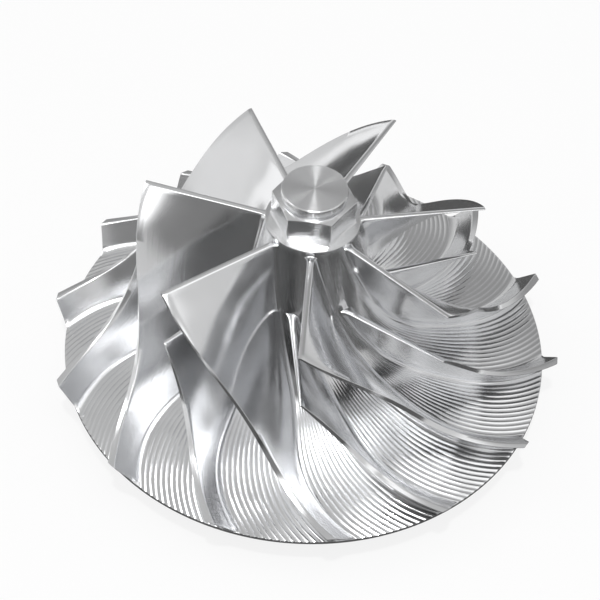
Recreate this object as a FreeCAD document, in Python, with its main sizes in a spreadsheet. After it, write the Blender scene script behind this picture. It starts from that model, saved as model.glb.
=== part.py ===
import FreeCAD, Part

import math
import os

import Sketcher


# Sizes of a milled compressor wheel, in millimetres and degrees
SIZES = [
    ("rim_radius", 48.5, "outer radius of the hub disc"),
    ("rim_edge", 0.7, "thickness of the disc at its rim"),
    ("rim_height", 9.0, "top edge of the rim above the rear seat"),
    ("seat_radius", 12.0, "outer radius of the rear seat"),
    ("seat_height", 2.2, "height of the rear boss behind the disc"),
    ("seat_bevel", 0.5, "bevel round the rear seat"),
    ("seat_root", 3.0, "width of the slope between the boss and the disc's back"),
    ("inducer_height", 35.3, "leading edge of the full blades above the rim"),
    ("inducer_radius", 33.5, "tip radius at the leading edge"),
    ("exducer_radius", 51.0, "tip radius at the trailing edge"),
    ("exit_width", 4.5, "trailing edge tip above the rim"),
    ("splitter_height", 22.1, "leading edge of the splitters above the rim"),
    ("rim_land", 0.12, "floor left between the trailing edge and the rim"),
    ("neck_radius", 8.75, "radius of the neck under the shoulder"),
    ("neck_lead", 0.4, "straight neck above the leading edges"),
    ("floor_out", 7.95, "outward pull of the floor curve at the neck"),
    ("floor_down", 36.4, "downward pull of the floor curve at the neck"),
    ("floor_in", 27.9, "inward pull of the floor curve at the rim"),
    ("floor_up", 6.9, "upward pull of the floor curve at the rim"),
    ("shroud_out", 0.9, "outward pull of the shroud curve at the inlet"),
    ("shroud_down", 9.3, "downward pull of the shroud curve at the inlet"),
    ("shroud_in", 22.2, "inward pull of the shroud curve at the outlet"),
    ("shroud_up", 2.7, "upward pull of the shroud curve at the outlet"),
    ("neck_length", 1.0, "leading edges to the underside of the shoulder"),
    ("shoulder_radius", 9.05, "radius of the shoulder under the hexagon"),
    ("shoulder_edge", 0.45, "height of the shoulder's outer edge"),
    ("shoulder_rise", 0.55, "rise of the shoulder's cone to the hexagon"),
    ("hex_flats", 14.0, "hexagon across its flats"),
    ("hex_height", 5.35, "height of the hexagon"),
    ("hex_turn", 55.2, "angle of a hexagon corner"),
    ("hex_bevel", 0.42, "depth of the bevel at the hexagon's corners"),
    ("undercut_radius", 5.85, "radius of the groove under the cap"),
    ("undercut_height", 0.4, "height of the groove under the cap"),
    ("cap_radius", 6.3, "radius of the turned cap"),
    ("cap_height", 1.45, "height of the turned cap"),
    ("cap_bevel", 0.35, "bevel round the cap"),
    ("pilot_radius", 4.5, "radius of the pilot bore in the rear seat"),
    ("pilot_depth", 8.0, "depth of the pilot bore"),
    ("thread_radius", 3.5, "core radius of the blind thread"),
    ("thread_depth", 32.0, "full depth of the thread from the rear seat"),
    ("drill_tip", 2.0, "depth of the drill point past the thread"),
    ("bore_bevel", 0.6, "bevel at the mouth of the bore"),
    ("blade_count", 7, "number of full blades, and of splitters"),
    ("blade_turn", 11.7, "angle of a leading edge tip"),
    ("root_turn", 12.4, "angle of a leading edge root"),
    ("shroud_turn_a", 17.4, "first control angle of the blade's tip line"),
    ("shroud_turn_b", 40.9, "second control angle of the blade's tip line"),
    ("shroud_turn_c", 43.5, "third control angle of the blade's tip line"),
    ("shroud_wrap", 61.0, "whole wrap of the blade's tip line"),
    ("root_turn_a", 41.7, "first control angle of the blade's root line"),
    ("root_turn_b", 57.6, "second control angle of the blade's root line"),
    ("root_turn_c", 37.5, "third control angle of the blade's root line"),
    ("root_wrap", 63.8, "whole wrap of the blade's root line"),
    ("splitter_root_turn", -9.0, "turn of a splitter's leading edge root off that line"),
    ("root_thick", 1.6, "blade thickness above the fillet"),
    ("inlet_thick", 0.7, "tip thickness behind the leading edge"),
    ("outlet_thick", 1.1, "tip thickness at the trailing edge"),
    ("lead_root_thick", 1.3, "thickness of the leading edge above the fillet"),
    ("lead_tip_thick", 0.5, "thickness of the leading edge at its tip"),
    ("lead_taper", 3.0, "length over which the leading edge thickens"),
    ("root_fillet", 1.5, "fillet between the blades and the floor"),
    ("root_sink", 0.3, "depth of the blade roots in the hub"),
]

doc = FreeCAD.newDocument("CompressorWheel")
sheet = doc.addObject("Spreadsheet::Sheet", "Sizes")
for row, (alias, value, meaning) in enumerate(SIZES, start=1):
    sheet.set("A%d" % row, meaning)
    sheet.set("B%d" % row, str(value))
    sheet.setAlias("B%d" % row, alias)
doc.recompute()

# Heights that several features share, written once from the sizes above
LEAD_TOP = "Sizes.rim_height + Sizes.inducer_height + Sizes.neck_lead"
SHOULDER_UNDER = "Sizes.rim_height + Sizes.inducer_height + Sizes.neck_length"
SHOULDER_TOP = SHOULDER_UNDER + " + Sizes.shoulder_edge"
HEX_FOOT = SHOULDER_TOP + " + Sizes.shoulder_rise"
HEX_TOP = HEX_FOOT + " + Sizes.hex_height"
CAP_FOOT = HEX_TOP + " + Sizes.undercut_height"
CAP_TOP = CAP_FOOT + " + Sizes.cap_height"
RIM_UNDER = "Sizes.rim_height - Sizes.rim_edge"
HEX_CORNER = "Sizes.hex_flats / sqrt(3)"


def size(alias):
    """Return one named size as a plain number."""
    return float(sheet.get(alias))


def value_of(expression):
    """Return what an expression on the sheet gives, as a plain number."""
    result = sheet.evalExpression(expression)
    return float(getattr(result, "Value", result))


def origin_plane(body, role):
    """Return one of the body's own origin planes."""
    for feature in body.Origin.OriginFeatures:
        if feature.Role == role:
            return feature
    raise ValueError(role)


def new_sketch(body, name, role):
    """Add a sketch on an origin plane of the body."""
    sketch = body.newObject("Sketcher::SketchObject", name)
    sketch.AttachmentSupport = (origin_plane(body, role), "")
    sketch.MapMode = "FlatFace"
    return sketch


def pin_point(sketch, geometry, end, across, up):
    """Hold one point of a sketch at two expressions on the sheet."""
    for kind, expression in (("DistanceX", across), ("DistanceY", up)):
        if expression == "0":
            axis = -2 if kind == "DistanceX" else -1
            sketch.addConstraint(Sketcher.Constraint("PointOnObject", geometry, end, axis))
            continue
        amount = value_of(expression)
        index = sketch.addConstraint(Sketcher.Constraint(kind, -1, 1, geometry, end, amount))
        sketch.setExpression("Constraints[%d]" % index, expression)


def turned_profile(sketch, corners, curve_from=None, handles=()):
    """Draw a closed profile of lines, with one curve on two handles."""
    points = [FreeCAD.Vector(value_of(x), value_of(y), 0) for x, y in corners]
    edges = []
    for here in range(len(corners)):
        there = (here + 1) % len(corners)
        if here == curve_from:
            poles = [points[here]]
            poles += [FreeCAD.Vector(value_of(x), value_of(y), 0) for x, y in handles]
            poles += [points[there]]
            curve = Part.BSplineCurve(poles, None, None, False, 3, None, False)
            edges.append(sketch.addGeometry(curve, False))
            sketch.exposeInternalGeometry(edges[-1])
            first_pole = edges[-1] + 1
            pin_point(sketch, first_pole + 1, 3, *handles[0])
            pin_point(sketch, first_pole + 2, 3, *handles[1])
        else:
            line = Part.LineSegment(points[here], points[there])
            edges.append(sketch.addGeometry(line, False))
    for here in range(len(corners)):
        there = (here + 1) % len(corners)
        sketch.addConstraint(Sketcher.Constraint("Coincident", edges[here], 2, edges[there], 1))
    for here, (x, y) in enumerate(corners):
        if x == "0" and y == "0":
            sketch.addConstraint(Sketcher.Constraint("Coincident", edges[here], 1, -1, 1))
        else:
            pin_point(sketch, edges[here], 1, x, y)


# Hub, turned as one form from the rear seat to the cap
hub = doc.addObject("PartDesign::Body", "Hub")
hub.Label = "hub"
hub_section = new_sketch(hub, "HubSection", "XZ_Plane")
hub_corners = [
    ("0", "0"),
    ("Sizes.seat_radius - Sizes.seat_bevel", "0"),
    ("Sizes.seat_radius", "Sizes.seat_bevel"),
    ("Sizes.seat_radius", "Sizes.seat_height"),
    ("Sizes.seat_radius + Sizes.seat_root", "Sizes.seat_height + Sizes.rim_edge"),
    ("Sizes.rim_radius", RIM_UNDER),
    ("Sizes.rim_radius", "Sizes.rim_height"),
    ("Sizes.neck_radius", LEAD_TOP),
    ("Sizes.neck_radius", SHOULDER_UNDER),
    ("Sizes.shoulder_radius", SHOULDER_UNDER),
    ("Sizes.shoulder_radius", SHOULDER_TOP),
    ("Sizes.undercut_radius", HEX_FOOT),
    ("Sizes.undercut_radius", CAP_FOOT),
    ("Sizes.cap_radius", CAP_FOOT),
    ("Sizes.cap_radius", CAP_TOP + " - Sizes.cap_bevel"),
    ("Sizes.cap_radius - Sizes.cap_bevel", CAP_TOP),
    ("0", CAP_TOP),
]
hub_handles = [
    ("Sizes.rim_radius - Sizes.floor_in", "Sizes.rim_height + Sizes.floor_up"),
    ("Sizes.neck_radius + Sizes.floor_out", LEAD_TOP + " - Sizes.floor_down"),
]
turned_profile(hub_section, hub_corners, 6, hub_handles)
hub_turning = hub.newObject("PartDesign::Revolution", "HubTurning")
hub_turning.Profile = hub_section
hub_turning.ReferenceAxis = (hub_section, ["V_Axis"])
hub_turning.Angle = 360
hub_section.Visibility = False
doc.recompute()

# Hexagon for the spanner, standing on the shoulder's cone
hex_section = new_sketch(hub, "HexSection", "XY_Plane")
hex_section.setExpression("AttachmentOffset.Base.z", SHOULDER_UNDER)
corner = value_of(HEX_CORNER)
ring = hex_section.addGeometry(Part.Circle(FreeCAD.Vector(0, 0, 0), FreeCAD.Vector(0, 0, 1), corner), True)
hex_section.addConstraint(Sketcher.Constraint("Coincident", ring, 3, -1, 1))
ring_size = hex_section.addConstraint(Sketcher.Constraint("Radius", ring, corner))
hex_section.setExpression("Constraints[%d]" % ring_size, HEX_CORNER)
turns = [math.radians(size("hex_turn") + 60 * side) for side in range(6)]
hex_points = [FreeCAD.Vector(corner * math.cos(turn), corner * math.sin(turn), 0) for turn in turns]
hex_sides = []
for side in range(6):
    line = Part.LineSegment(hex_points[side], hex_points[(side + 1) % 6])
    hex_sides.append(hex_section.addGeometry(line, False))
for side in range(6):
    after = hex_sides[(side + 1) % 6]
    hex_section.addConstraint(Sketcher.Constraint("Coincident", hex_sides[side], 2, after, 1))
    hex_section.addConstraint(Sketcher.Constraint("PointOnObject", hex_sides[side], 1, ring))
    if side:
        hex_section.addConstraint(Sketcher.Constraint("Equal", hex_sides[0], hex_sides[side]))
spoke = hex_section.addGeometry(Part.LineSegment(FreeCAD.Vector(0, 0, 0), hex_points[0]), True)
hex_section.addConstraint(Sketcher.Constraint("Coincident", spoke, 1, -1, 1))
hex_section.addConstraint(Sketcher.Constraint("Coincident", spoke, 2, hex_sides[0], 1))
lean = hex_section.addConstraint(Sketcher.Constraint("Angle", -1, 1, spoke, 1, turns[0]))
hex_section.setExpression("Constraints[%d]" % lean, "Sizes.hex_turn * 1 deg")
hexagon = hub.newObject("PartDesign::Pad", "Hexagon")
hexagon.Profile = hex_section
hexagon.setExpression("Length", HEX_TOP + " - (" + SHOULDER_UNDER + ")")
doc.recompute()

# Bevel turned on the hexagon's upper corners
bevel_section = new_sketch(hub, "HexBevelSection", "XZ_Plane")
bevel_corners = [
    ("Sizes.cap_radius", HEX_TOP),
    (HEX_CORNER, HEX_TOP + " - Sizes.hex_bevel"),
    (HEX_CORNER + " + Sizes.shoulder_edge", HEX_TOP + " - Sizes.hex_bevel"),
    (HEX_CORNER + " + Sizes.shoulder_edge", HEX_TOP + " + Sizes.undercut_height / 2"),
    ("Sizes.cap_radius", HEX_TOP + " + Sizes.undercut_height / 2"),
]
turned_profile(bevel_section, bevel_corners)
hex_bevel = hub.newObject("PartDesign::Groove", "HexBevel")
hex_bevel.Profile = bevel_section
hex_bevel.ReferenceAxis = (bevel_section, ["V_Axis"])
hex_bevel.Angle = 360
doc.recompute()

# Blind bore for the shaft, with its pilot, thread core and drill point
bore_section = new_sketch(hub, "BoreSection", "XZ_Plane")
bore_corners = [
    ("0", "0"),
    ("Sizes.pilot_radius + Sizes.bore_bevel", "0"),
    ("Sizes.pilot_radius", "Sizes.bore_bevel"),
    ("Sizes.pilot_radius", "Sizes.pilot_depth"),
    ("Sizes.thread_radius", "Sizes.pilot_depth + Sizes.bore_bevel"),
    ("Sizes.thread_radius", "Sizes.thread_depth"),
    ("0", "Sizes.thread_depth + Sizes.drill_tip"),
]
turned_profile(bore_section, bore_corners)
bore = hub.newObject("PartDesign::Groove", "Bore")
bore.Profile = bore_section
bore.ReferenceAxis = (bore_section, ["V_Axis"])
bore.Angle = 360
doc.recompute()
hub.Tip = bore


def blend(controls, share):
    """Return the value at a share of the way along a smooth curve."""
    values = list(controls)
    while len(values) > 1:
        values = [a + (b - a) * share for a, b in zip(values, values[1:])]
    return values[0]


class CamberLine:
    """Root or tip line of the blades, in radius, height and angle."""

    def __init__(self, radii, heights, angles):
        self.radii = radii
        self.heights = heights
        self.angles = angles

    def at(self, share):
        """Return radius, height and angle at a share of the curve."""
        radius = blend(self.radii, share)
        height = blend(self.heights, share)
        return radius, height, math.radians(blend(self.angles, share))

    def share_at(self, which, wanted):
        """Return the share where the radius or the height has the wanted value."""
        low, high = 0.0, 1.0
        falling = self.at(0.0)[which] > self.at(1.0)[which]
        for _ in range(60):
            middle = (low + high) / 2
            if (self.at(middle)[which] > wanted) == falling:
                low = middle
            else:
                high = middle
        return (low + high) / 2

    def even_shares(self, first, last, count):
        """Return shares that part the curve into steps of one length."""
        fine = 400
        shares = [first + (last - first) * step / fine for step in range(fine + 1)]
        lengths = [0.0]
        for a, b in zip(shares, shares[1:]):
            r_a, z_a, _ = self.at(a)
            r_b, z_b, _ = self.at(b)
            lengths.append(lengths[-1] + math.hypot(r_b - r_a, z_b - z_a))
        even = []
        place = 0
        for step in range(count):
            wanted = lengths[-1] * step / (count - 1)
            while place < fine - 1 and lengths[place + 1] < wanted:
                place += 1
            reach = lengths[place + 1] - lengths[place]
            part = (wanted - lengths[place]) / reach
            even.append(shares[place] + (shares[place + 1] - shares[place]) * part)
        return even


rim_z = size("rim_height")
inlet_z = rim_z + size("inducer_height")
lead_z = inlet_z + size("neck_lead")
outlet_z = rim_z + size("exit_width")
root_line = CamberLine(
    [size("neck_radius"), size("neck_radius") + size("floor_out"),
     size("rim_radius") - size("floor_in"), size("rim_radius")],
    [lead_z, lead_z - size("floor_down"), rim_z + size("floor_up"), rim_z],
    [size("root_turn") + turn for turn in
     (0.0, size("root_turn_a"), size("root_turn_b"), size("root_turn_c"), size("root_wrap"))],
)
tip_line = CamberLine(
    [size("inducer_radius"), size("inducer_radius") + size("shroud_out"),
     size("exducer_radius") - size("shroud_in"), size("exducer_radius")],
    [inlet_z, inlet_z - size("shroud_down"), outlet_z + size("shroud_up"), outlet_z],
    [size("blade_turn") + turn for turn in
     (0.0, size("shroud_turn_a"), size("shroud_turn_b"), size("shroud_turn_c"), size("shroud_wrap"))],
)


def from_axis(radius, height, angle):
    """Return a point from its radius, height and angle."""
    return FreeCAD.Vector(radius * math.cos(angle), radius * math.sin(angle), height)


def turned(point, angle):
    """Return the point turned about the wheel's axis."""
    cosine, sine = math.cos(angle), math.sin(angle)
    return FreeCAD.Vector(
        point.x * cosine - point.y * sine, point.x * sine + point.y * cosine, point.z)


def flank_edges(points, backwards=False):
    """Return the fillet and the flank of one side of a section, as edges."""
    low, knee, flank, tip = points
    poles = [flank, knee, low] if backwards else [low, knee, flank]
    fillet = Part.BezierCurve()
    fillet.setPoles(poles)
    if backwards:
        return [Part.makeLine(tip, flank), fillet.toShape()]
    return [fillet.toShape(), Part.makeLine(flank, tip)]


def blade_solid(lead_height, sections, root_turn=0.0):
    """Loft one blade through sections that run from the floor to the tip.

    Each section follows a straight ruling from the root line to the tip line and
    has its two flanks turned about the axis to either side of it, so that the
    edges lie on turned surfaces as a lathe leaves them. The leading edge's root
    may be turned off the root line, which it meets again at the trailing edge.
    """
    root_first = root_line.share_at(1, lead_height)
    root_last = root_line.share_at(0, size("rim_radius") - size("rim_land"))
    tip_first = tip_line.share_at(1, lead_height)
    roots = root_line.even_shares(root_first, root_last, sections)
    tips = tip_line.even_shares(tip_first, 1.0, sections)
    feet = []
    for place, share in enumerate(roots):
        back_to_line = (1 - place / (sections - 1)) ** 2
        foot = from_axis(*root_line.at(share))
        feet.append(turned(foot, math.radians(root_turn) * back_to_line))
    ends = [from_axis(*tip_line.at(share)) for share in tips]
    run = 0.0
    wires = []
    end_faces = []
    for place in range(sections):
        before, after = max(place - 1, 0), min(place + 1, sections - 1)
        foot, end = feet[place], ends[place]
        ruling = end - foot
        span = ruling.Length
        if place:
            run += ((feet[place] + ends[place]) - (feet[before] + ends[before])).Length / 2
        share = place / (sections - 1)
        taper = min(run / size("lead_taper"), 1.0)
        root_thick = blend((size("lead_root_thick"), size("root_thick")), taper)
        tip_thick = blend((size("inlet_thick"), size("outlet_thick")), share)
        tip_thick = blend((size("lead_tip_thick"), tip_thick), taper)

        def half_turn(height, thickness):
            """Return the turn that gives a thickness at a height on the ruling."""
            along = (feet[after] - feet[before]) * (1 - height) + (ends[after] - ends[before]) * height
            point = foot + ruling * height
            radius = math.hypot(point.x, point.y)
            ring_way = FreeCAD.Vector(-point.y / radius, point.x / radius, 0)
            normal = along.cross(ruling)
            normal.normalize()
            return thickness / 2 / radius / abs(normal.dot(ring_way))

        fillet = size("root_fillet")
        rise = fillet / span
        sink = -size("root_sink") / span
        low_turn = half_turn(0.0, root_thick)
        wide_turn = half_turn(0.0, root_thick + 2 * fillet)
        flank_turn = half_turn(rise, root_thick)
        tip_turn = half_turn(1.0, tip_thick)
        points = {}
        for side in (-1, 1):
            points[side] = [
                turned(foot + ruling * sink, side * wide_turn),
                turned(foot + ruling * (sink / 2), side * low_turn),
                turned(foot + ruling * rise, side * flank_turn),
                turned(end, side * tip_turn),
            ]
        near, far = flank_edges(points[-1]), flank_edges(points[1])
        tip_edge = Part.makeLine(points[-1][3], points[1][3])
        low_edge = Part.makeLine(points[1][0], points[-1][0])
        far_back = flank_edges(points[1], True)
        wires.append(Part.Wire(near + [tip_edge] + far_back + [low_edge]))
        if place in (0, sections - 1):
            end_faces.append(Part.makeRuledSurface(Part.Wire(near), Part.Wire(far)))
    skin = Part.makeLoft(wires, False, False, False, 5)
    faces = list(skin.Faces)
    for end_face in end_faces:
        faces.extend(end_face.Faces)
    shell = Part.makeShell(faces)
    shell.sewShape()
    solid = Part.makeSolid(Part.makeShell(shell.Faces))
    if solid.Volume < 0:
        solid.reverse()
    return solid


def blade_ring(name, solid, half_steps):
    """Stand copies of a blade evenly about the axis and return them."""
    ring = []
    for place in range(int(round(size("blade_count")))):
        blade = doc.addObject("Part::Feature", "%s%d" % (name, place + 1))
        blade.Shape = solid
        blade.Placement = FreeCAD.Placement(FreeCAD.Vector(0, 0, 0), FreeCAD.Vector(0, 0, 1), 0)
        turn = "(%d + %d / 2) * 360 deg / Sizes.blade_count" % (place, half_steps)
        blade.setExpression("Placement.Rotation.Angle", turn)
        ring.append(blade)
    return ring


# Full blades, and the splitters midway between them
full_blade = blade_solid(inlet_z, 13)
splitter = blade_solid(rim_z + size("splitter_height"), 10, size("splitter_root_turn"))
full_blades = blade_ring("FullBlade", full_blade, 0)
splitters = blade_ring("Splitter", splitter, 1)
doc.recompute()

# The wheel, milled as one piece of metal
wheel = doc.addObject("Part::MultiFuse", "CompressorWheel")
wheel.Label = "compressor_wheel"
wheel.Shapes = [hub] + full_blades + splitters
wheel.Refine = False
wheel.Placement = FreeCAD.Placement()
doc.recompute()

for item in doc.Objects:
    if "Invalid" in item.State or "Error" in item.State:
        raise RuntimeError("%s failed: %s" % (item.Name, item.State))
if wheel.Shape.isNull() or not wheel.Shape.isValid():
    raise RuntimeError("the wheel has no sound shape")
if len(wheel.Shape.Solids) != 1:
    raise RuntimeError("the wheel is in %d pieces" % len(wheel.Shape.Solids))

os.makedirs("parts", exist_ok=True)
wheel.Shape.exportStep("parts/compressor_wheel.step")
box = wheel.Shape.BoundBox
print("box %.2f %.2f %.2f  volume %.1f" % (box.XLength, box.YLength, box.ZLength, wheel.Shape.Volume))
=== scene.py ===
"""Looks of a one-piece compressor wheel, milled from a billet of aluminium.

The wheel's lines are those of its solid model, in millimetres, with the rear seat
on the floor and the axis along +Z. Every finished mesh is scaled to metres.
"""

import logging
import math
from dataclasses import dataclass, field
from enum import Enum, IntEnum

import bmesh
import bpy
from mathutils import Matrix, Vector


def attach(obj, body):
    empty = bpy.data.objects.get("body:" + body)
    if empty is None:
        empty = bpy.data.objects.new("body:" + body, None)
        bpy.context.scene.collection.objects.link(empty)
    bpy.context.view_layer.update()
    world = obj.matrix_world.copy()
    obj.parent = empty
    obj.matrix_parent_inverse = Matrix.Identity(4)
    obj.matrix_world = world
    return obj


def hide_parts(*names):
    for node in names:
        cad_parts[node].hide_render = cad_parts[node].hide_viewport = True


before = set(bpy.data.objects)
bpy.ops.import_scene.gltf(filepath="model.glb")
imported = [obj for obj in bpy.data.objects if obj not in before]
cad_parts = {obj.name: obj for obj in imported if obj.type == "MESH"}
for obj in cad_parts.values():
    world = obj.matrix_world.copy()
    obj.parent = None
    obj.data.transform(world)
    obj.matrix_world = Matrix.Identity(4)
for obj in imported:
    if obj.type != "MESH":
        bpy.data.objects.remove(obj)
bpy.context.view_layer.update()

MM = 0.001
BLADES = 7
SEVENTH = math.tau / BLADES
AXIS = Vector((0.0, 0.0, 1.0))
# Vertices nearer than the first are one and edges shorter than the second go, in millimetres.
WELD_REACH = 0.0005
SHORT_EDGE = 0.0004
# Steps in which a line is measured, and halvings that find a place on it.
PATH_STEPS = 400
HALVINGS = 50
BARE_ALUMINIUM = (0.925, 0.93, 0.94)
log = logging.getLogger("compressor_wheel")


class Lay(Enum):
    """Direction in which a tool has left its marks."""

    ALONG_FLOW = "along the air's path, on the piece's own UV map"
    TURNED = "in rings about the axis"
    MILLED_FLAT = "in level strokes round the hexagon"


class Zone(IntEnum):
    """Strip of the floor in one passage, from a full blade to the next."""

    BLADE = 0
    NEAR_GROOVES = 1
    SPLITTER = 2
    FAR_GROOVES = 3
    NEXT_BLADE = 4


GROOVED = (Zone.NEAR_GROOVES, Zone.FAR_GROOVES)


def bezier(controls: tuple[float, ...], share: float) -> float:
    """Return the value at a share of the way along a smooth curve.

    Args:
        controls: control values of the curve.
        share: place on the curve, from 0 to 1.

    Returns:
        The value there.
    """
    values = list(controls)
    while len(values) > 1:
        values = [a + (b - a) * share for a, b in zip(values, values[1:])]
    return values[0]


def mix(start: float, end: float, share: float) -> float:
    """Return the value at a share of the way from start to end."""
    return start + (end - start) * share


def ease(share: float) -> float:
    """Return a share that starts and ends without a kink."""
    held = min(max(share, 0.0), 1.0)
    return held * held * (3.0 - 2.0 * held)


def from_axis(radius: float, height: float, angle: float) -> Vector:
    """Return a point from its radius, height and angle."""
    return Vector((radius * math.cos(angle), radius * math.sin(angle), height))


def turned(point: Vector, angle: float) -> Vector:
    """Return the point turned about the wheel's axis."""
    return Matrix.Rotation(angle, 3, AXIS) @ point


@dataclass(frozen=True)
class CamberLine:
    """Root or tip line of the blades.

    Args:
        radii: control radii, in millimetres.
        heights: control heights, in millimetres.
        turns: control angles, in degrees.
    """

    radii: tuple[float, ...]
    heights: tuple[float, ...]
    turns: tuple[float, ...]

    def at(self, share: float) -> tuple[float, float, float]:
        """Return radius, height and angle in radians at a share of the curve."""
        angle = math.radians(bezier(self.turns, share))
        return bezier(self.radii, share), bezier(self.heights, share), angle

    @staticmethod
    def share_where(controls: tuple[float, ...], wanted: float) -> float:
        """Return the share at which a rising or falling curve passes a value.

        Args:
            controls: control values of the curve.
            wanted: the value.

        Returns:
            The share, found by halving.
        """
        way = math.copysign(1.0, controls[-1] - controls[0])
        low, high = 0.0, 1.0
        for _ in range(HALVINGS):
            middle = (low + high) / 2
            if (bezier(controls, middle) - wanted) * way < 0.0:
                low = middle
            else:
                high = middle
        return (low + high) / 2

    def share_at_height(self, height: float) -> float:
        """Return the share of the curve where it passes a height on its way down."""
        return self.share_where(self.heights, height)

    def share_at_radius(self, radius: float) -> float:
        """Return the share of the curve where it passes a radius on its way out."""
        return self.share_where(self.radii, radius)


class EvenPath:
    """A stretch of a camber line, read by the share of its length."""

    def __init__(self, line: CamberLine, first: float, last: float) -> None:
        """Measure the stretch.

        Args:
            line: the whole line.
            first: share of the line where the stretch starts.
            last: share of the line where it ends.
        """
        self.line = line
        self.shares = [mix(first, last, step / PATH_STEPS) for step in range(PATH_STEPS + 1)]
        self.lengths = [0.0]
        for here, there in zip(self.shares, self.shares[1:]):
            r_a, z_a, _ = line.at(here)
            r_b, z_b, _ = line.at(there)
            self.lengths.append(self.lengths[-1] + math.hypot(r_b - r_a, z_b - z_a))

    @property
    def length(self) -> float:
        """Length of the stretch in its own half plane."""
        return self.lengths[-1]

    def share(self, run: float) -> float:
        """Return the line's share at a place on the stretch.

        Args:
            run: share of the stretch's length, from 0 to 1.

        Returns:
            The share of the whole line there.
        """
        wanted = min(max(run, 0.0), 1.0) * self.length
        low, high = 0, len(self.lengths) - 1
        while high - low > 1:
            middle = (low + high) // 2
            if self.lengths[middle] > wanted:
                high = middle
            else:
                low = middle
        reach = self.lengths[high] - self.lengths[low]
        return mix(self.shares[low], self.shares[high], (wanted - self.lengths[low]) / reach)

    def point(self, run: float) -> Vector:
        """Return the point at a run of the length."""
        return from_axis(*self.line.at(self.share(run)))


@dataclass(frozen=True)
class WheelForm:
    """Driving sizes of the wheel, in millimetres and degrees."""

    rim_radius: float = 48.5
    rim_height: float = 9.0
    rim_edge: float = 0.7
    neck_radius: float = 8.75
    inducer_height: float = 35.3
    splitter_height: float = 22.1
    shoulder_under: float = 45.3
    root_thick: float = 1.6
    root_fillet: float = 1.5
    root_sink: float = 0.3
    root_line: CamberLine = CamberLine(
        (8.75, 16.7, 20.6, 48.5), (44.7, 8.3, 15.9, 9.0), (12.4, 54.1, 70.0, 49.9, 76.2))
    tip_line: CamberLine = CamberLine(
        (33.5, 34.4, 28.8, 51.0), (44.3, 35.0, 16.2, 13.5), (11.7, 29.1, 52.6, 55.2, 72.7))

    @property
    def inlet_height(self) -> float:
        """Height of the full blades' leading edges."""
        return self.rim_height + self.inducer_height

    @property
    def splitter_inlet_height(self) -> float:
        """Height of the splitters' leading edges."""
        return self.rim_height + self.splitter_height


def finish_piece(
    shape: bmesh.types.BMesh,
    name: str,
    finishes: list[bpy.types.Material],
    sharp_over: float = 35.0,
) -> bpy.types.Object:
    """Close a shape's seams, scale it to metres and make it a piece of the wheel.

    Args:
        shape: the shape, in millimetres. It is used up.
        name: name of the piece.
        finishes: materials, in the order that the faces number them.
        sharp_over: edges that turn by more than this many degrees stay sharp.

    Returns:
        The finished object, riding on the wheel.
    """
    bmesh.ops.remove_doubles(shape, verts=shape.verts, dist=WELD_REACH)
    bmesh.ops.dissolve_degenerate(shape, edges=shape.edges, dist=SHORT_EDGE)
    bmesh.ops.recalc_face_normals(shape, faces=shape.faces)
    bmesh.ops.scale(shape, vec=Vector((MM, MM, MM)), verts=shape.verts)
    ridge = shape.verts.layers.int.get("ridge")
    for face in shape.faces:
        face.smooth = True
    for edge in shape.edges:
        if len(edge.link_faces) == 2 and edge.calc_face_angle(0.0) > math.radians(sharp_over):
            edge.smooth = False
        elif ridge and all(vert[ridge] for vert in edge.verts):
            edge.smooth = False
    mesh = bpy.data.meshes.new(name)
    shape.to_mesh(mesh)
    shape.free()
    for finish in finishes:
        mesh.materials.append(finish)
    piece = bpy.data.objects.new(name, mesh)
    bpy.context.scene.collection.objects.link(piece)
    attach(piece, "root")
    log.info("%s: %d faces", name, len(mesh.polygons))
    return piece


def math_step(
    tree: bpy.types.NodeTree,
    operation: str,
    first: bpy.types.NodeSocket,
    second: bpy.types.NodeSocket | float,
) -> bpy.types.NodeSocket:
    """Add one step of arithmetic to a material.

    Args:
        tree: nodes and links of the material.
        operation: what the step does.
        first: socket with the first value.
        second: socket with the second value, or the value itself.

    Returns:
        The socket with the result.
    """
    step = tree.nodes.new("ShaderNodeMath")
    step.operation = operation
    tree.links.new(first, step.inputs[0])
    if isinstance(second, float):
        step.inputs[1].default_value = second
    else:
        tree.links.new(second, step.inputs[1])
    return step.outputs["Value"]


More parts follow.
